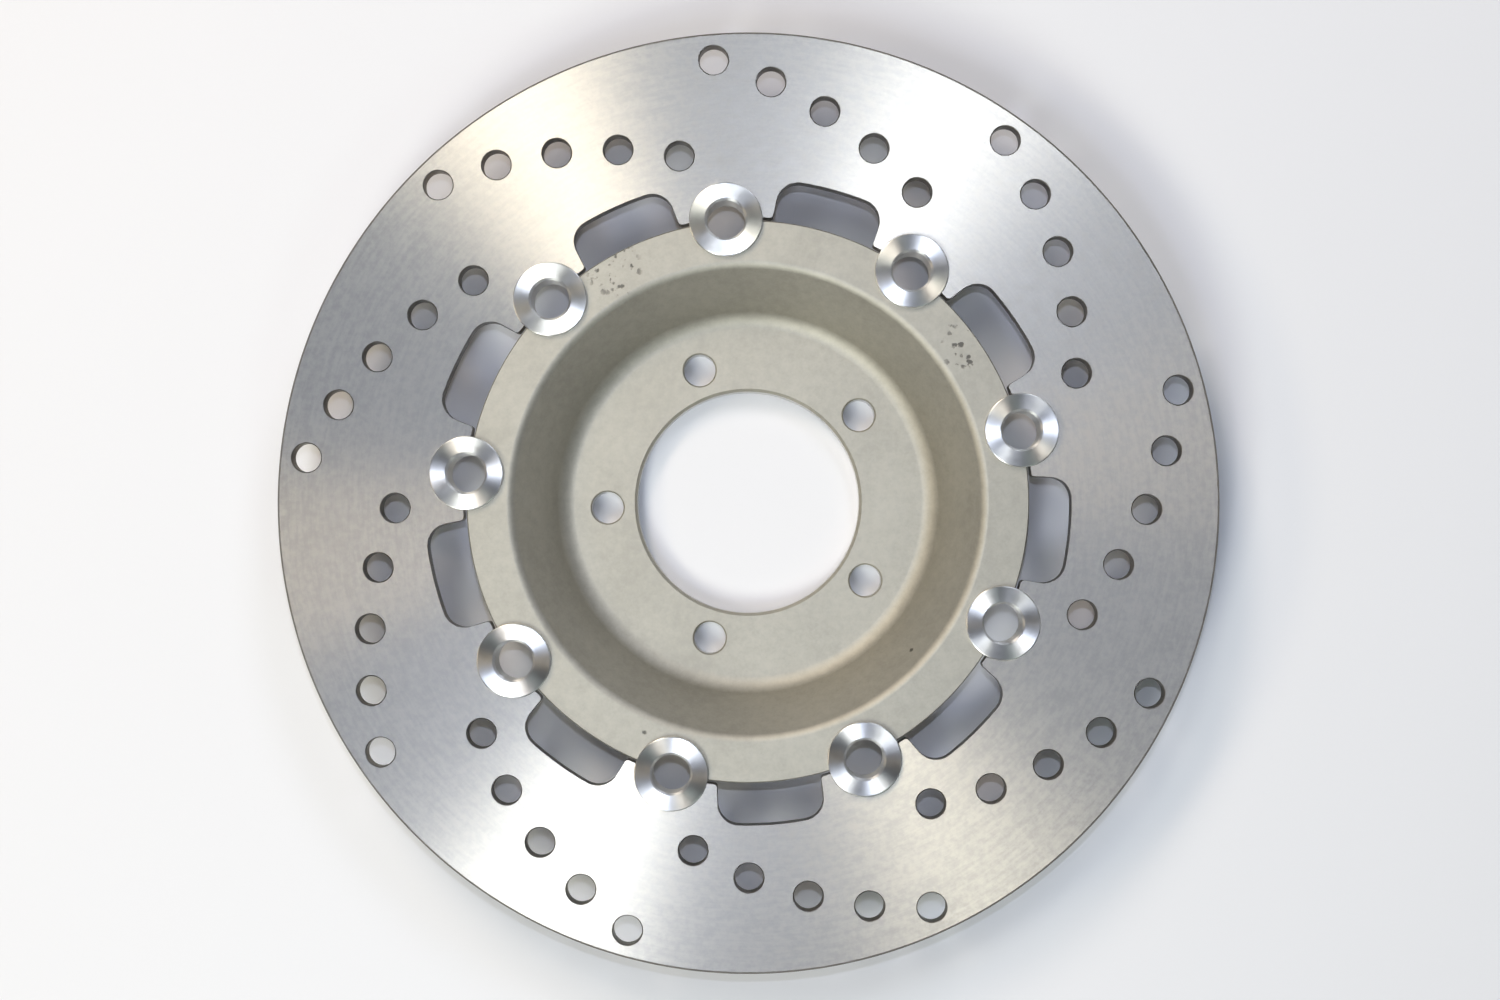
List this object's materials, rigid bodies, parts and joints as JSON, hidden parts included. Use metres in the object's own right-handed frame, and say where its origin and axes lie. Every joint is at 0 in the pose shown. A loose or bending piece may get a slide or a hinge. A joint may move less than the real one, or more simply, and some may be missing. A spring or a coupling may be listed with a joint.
{
  "type": "brake disc rotor",
  "caption": "Floating motorcycle brake disc: a drilled steel ring with inner lugs, hung by flanged drive buttons on a dished cast-aluminium carrier with a spigot bore and a bolt circle.",
  "frame": {"origin": "centre of the carrier's hub face, the lowest point of the disc", "axes": "+Z along the wheel axle, out of the dish's mouth, towards the face that the buttons' flanges are on"},
  "size_m": [0.26, 0.26, 0.0264],
  "materials": {
    "ring_steel": "ground flat, fine grain around the axis",
    "carrier_casting": "matt shot-blasted casting",
    "button_steel": "bright turned face",
    "washer_steel": "zinc plated",
    "spring_steel": "oiled spring steel",
    "clip_steel": "phosphated spring steel"
  },
  "bodies": {
    "carrier": {"carrier": "carrier_casting"},
    "ring": {"brake_ring": "ring_steel"},
    "button_1": {"drive_button_1": "button_steel", "wave_washer_1": "spring_steel", "flat_washer_1": "washer_steel", "retaining_clip_1": "clip_steel"},
    "button_2": {"drive_button_2": "button_steel", "wave_washer_2": "spring_steel", "flat_washer_2": "washer_steel", "retaining_clip_2": "clip_steel"},
    "button_3": {"drive_button_3": "button_steel", "wave_washer_3": "spring_steel", "flat_washer_3": "washer_steel", "retaining_clip_3": "clip_steel"},
    "button_4": {"drive_button_4": "button_steel", "wave_washer_4": "spring_steel", "flat_washer_4": "washer_steel", "retaining_clip_4": "clip_steel"},
    "button_5": {"drive_button_5": "button_steel", "wave_washer_5": "spring_steel", "flat_washer_5": "washer_steel", "retaining_clip_5": "clip_steel"},
    "button_6": {"drive_button_6": "button_steel", "wave_washer_6": "spring_steel", "flat_washer_6": "washer_steel", "retaining_clip_6": "clip_steel"},
    "button_7": {"drive_button_7": "button_steel", "wave_washer_7": "spring_steel", "flat_washer_7": "washer_steel", "retaining_clip_7": "clip_steel"},
    "button_8": {"drive_button_8": "button_steel", "wave_washer_8": "spring_steel", "flat_washer_8": "washer_steel", "retaining_clip_8": "clip_steel"},
    "button_9": {"drive_button_9": "button_steel", "wave_washer_9": "spring_steel", "flat_washer_9": "washer_steel", "retaining_clip_9": "clip_steel"}
  },
  "joints": [
    {"name": "ring_float", "type": "slide", "parent": "carrier", "child": "ring", "axis": [0, 0, 1], "range_m": [-0.0003, 0], "stiffness_N_per_m": 100000, "springref_m": 0.0005, "deforming": ["wave_washer_1", "wave_washer_2", "wave_washer_3", "wave_washer_4", "wave_washer_5", "wave_washer_6", "wave_washer_7", "wave_washer_8", "wave_washer_9"]},
    {"name": "button_1_spin", "type": "hinge", "parent": "carrier", "child": "button_1", "pos_m": [-0.00598, 0.07772, 0.025], "axis": [0, 0, 1], "continuous": true},
    {"name": "button_2_spin", "type": "hinge", "parent": "carrier", "child": "button_2", "pos_m": [-0.05454, 0.05569, 0.025], "axis": [0, 0, 1], "continuous": true},
    {"name": "button_3_spin", "type": "hinge", "parent": "carrier", "child": "button_3", "pos_m": [-0.07758, 0.00761, 0.025], "axis": [0, 0, 1], "continuous": true},
    {"name": "button_4_spin", "type": "hinge", "parent": "carrier", "child": "button_4", "pos_m": [-0.06432, -0.04404, 0.025], "axis": [0, 0, 1], "continuous": true},
    {"name": "button_5_spin", "type": "hinge", "parent": "carrier", "child": "button_5", "pos_m": [-0.02096, -0.07508, 0.025], "axis": [0, 0, 1], "continuous": true},
    {"name": "button_6_spin", "type": "hinge", "parent": "carrier", "child": "button_6", "pos_m": [0.0322, -0.07099, 0.025], "axis": [0, 0, 1], "continuous": true},
    {"name": "button_7_spin", "type": "hinge", "parent": "carrier", "child": "button_7", "pos_m": [0.0703, -0.03368, 0.025], "axis": [0, 0, 1], "continuous": true},
    {"name": "button_8_spin", "type": "hinge", "parent": "carrier", "child": "button_8", "pos_m": [0.0755, 0.01939, 0.025], "axis": [0, 0, 1], "continuous": true},
    {"name": "button_9_spin", "type": "hinge", "parent": "carrier", "child": "button_9", "pos_m": [0.04538, 0.06338, 0.025], "axis": [0, 0, 1], "continuous": true}
  ]
}
